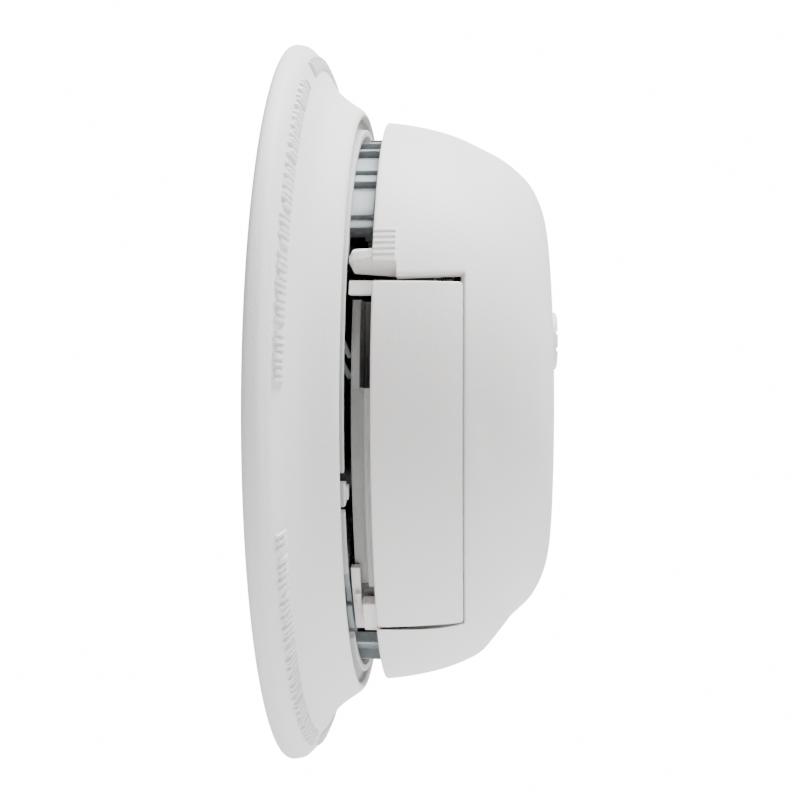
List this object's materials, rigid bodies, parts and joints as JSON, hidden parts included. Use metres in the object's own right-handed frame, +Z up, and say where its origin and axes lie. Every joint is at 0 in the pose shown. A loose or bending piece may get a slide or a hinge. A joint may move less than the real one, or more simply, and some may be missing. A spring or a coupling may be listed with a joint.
{
  "type": "smoke alarm",
  "caption": "Round wall or ceiling smoke alarm with a flared twist-lock bracket, domed cover, push test button and swing-out battery drawer.",
  "frame": {"origin": "on the alarm's axis, at the bracket's back face, where it meets the wall", "axes": "+Z up on the wall, +Y from the room into the wall, so the cover faces -Y and the battery drawer is on the -X side"},
  "size_m": [0.1444, 0.0525, 0.1444],
  "materials": {
    "white_shell": "fine spark-eroded texture",
    "bracket_plastic": "fine spark-eroded texture",
    "housing_plastic": "plain moulded",
    "steel": "zinc plated",
    "brass_pin": "tinned brass",
    "battery_skin": "printed sleeve, plain",
    "battery_stud": "nickel plated",
    "black_plastic": "matte",
    "board_green": "solder mask",
    "cap_red": "dipped resin",
    "cap_sleeve": "shrink sleeve",
    "resistor_tan": "lacquer",
    "screen_mesh": "fine woven mesh",
    "clear_lens": "clear moulded",
    "piezo_brass": "brass with ceramic layer",
    "lamp_green": "tinted epoxy",
    "tray_plastic": "plain moulded",
    "button_plastic": "fine satin"
  },
  "bodies": {
    "bracket": {"mounting_bracket": "bracket_plastic", "locking_pins": "housing_plastic"},
    "alarm": {"back_housing": "housing_plastic", "front_cover": "white_shell", "cover_screws": "steel", "drawer_pin": "steel", "contact_holder": "black_plastic", "battery_springs": "battery_stud", "circuit_board": "board_green", "board_screws": "steel", "inlet_shroud": "black_plastic", "inlet_pins": "brass_pin", "film_capacitor": "cap_red", "electrolytic_capacitors": "cap_sleeve", "controller_chip": "black_plastic", "chip_legs": "battery_stud", "resistors": "resistor_tan", "chamber_base": "black_plastic", "chamber_cap": "black_plastic", "insect_screen": "screen_mesh", "infrared_lamp": "clear_lens", "photodiode": "clear_lens", "horn_resonator": "housing_plastic", "piezo_disc": "piezo_brass", "horn_contacts": "steel", "tactile_switch": "black_plastic", "button_spring": "steel", "status_lamp": "lamp_green", "light_pipe": "clear_lens"},
    "drawer": {"drawer_face": "white_shell", "battery_tray": "tray_plastic", "pivot_guard": "white_shell", "battery_case": "battery_skin", "battery_terminals": "battery_stud"},
    "button": {"test_button": "button_plastic"}
  },
  "joints": [
    {"name": "alarm_twist", "type": "hinge", "parent": "bracket", "child": "alarm", "pos_m": [0, -0.005, 0], "axis": [0, -1, 0], "range_deg": [0, 14]},
    {"name": "drawer_swing", "type": "hinge", "parent": "alarm", "child": "drawer", "pos_m": [-0.0375, -0.024, -0.0326], "axis": [0, -1, 0], "range_deg": [0, 42], "deforming": ["battery_springs"]},
    {"name": "button_press", "type": "slide", "parent": "alarm", "child": "button", "axis": [0, 1, 0], "range_m": [0, 0.001], "stiffness_N_per_m": 800, "springref_m": -0.0008, "deforming": ["button_spring"]}
  ]
}
